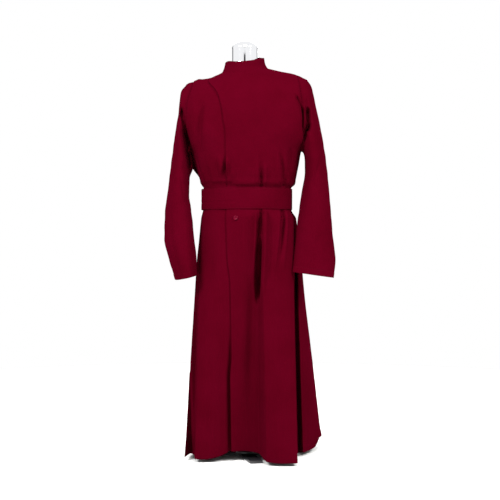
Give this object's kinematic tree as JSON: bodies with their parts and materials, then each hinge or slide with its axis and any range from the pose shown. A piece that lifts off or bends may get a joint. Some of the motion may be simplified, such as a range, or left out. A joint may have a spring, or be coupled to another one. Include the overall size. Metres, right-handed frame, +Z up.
{
  "type": "cassock on a limbless dress form",
  "caption": "Full-length double-breasted cassock with a stand collar, long sleeves, waist band and button, worn by a limbless dress form on a pole with a flat foot.",
  "frame": {"origin": "on the floor, at the axis of the dress form's pole, in the underside of its foot", "axes": "+Z up along the pole, -Y towards the front of the garment, +X towards the wearer's left"},
  "size_m": [0.6192, 0.4531, 1.524],
  "materials": {
    "crimson_wool": "fine plain weave, matt with a faint sheen",
    "crimson_button": "glossy",
    "torso_cover": "plain jersey cover, matt",
    "chrome": "polished",
    "black_steel": "satin black"
  },
  "bodies": {
    "root": {"front_left": "crimson_wool", "front_right": "crimson_wool", "back": "crimson_wool", "sleeve_left": "crimson_wool", "sleeve_right": "crimson_wool", "collar": "crimson_wool", "cincture": "crimson_wool", "button": "crimson_button", "form_torso": "torso_cover", "form_neck": "chrome", "form_pole": "black_steel", "form_base": "black_steel"}
  },
  "joints": []
}
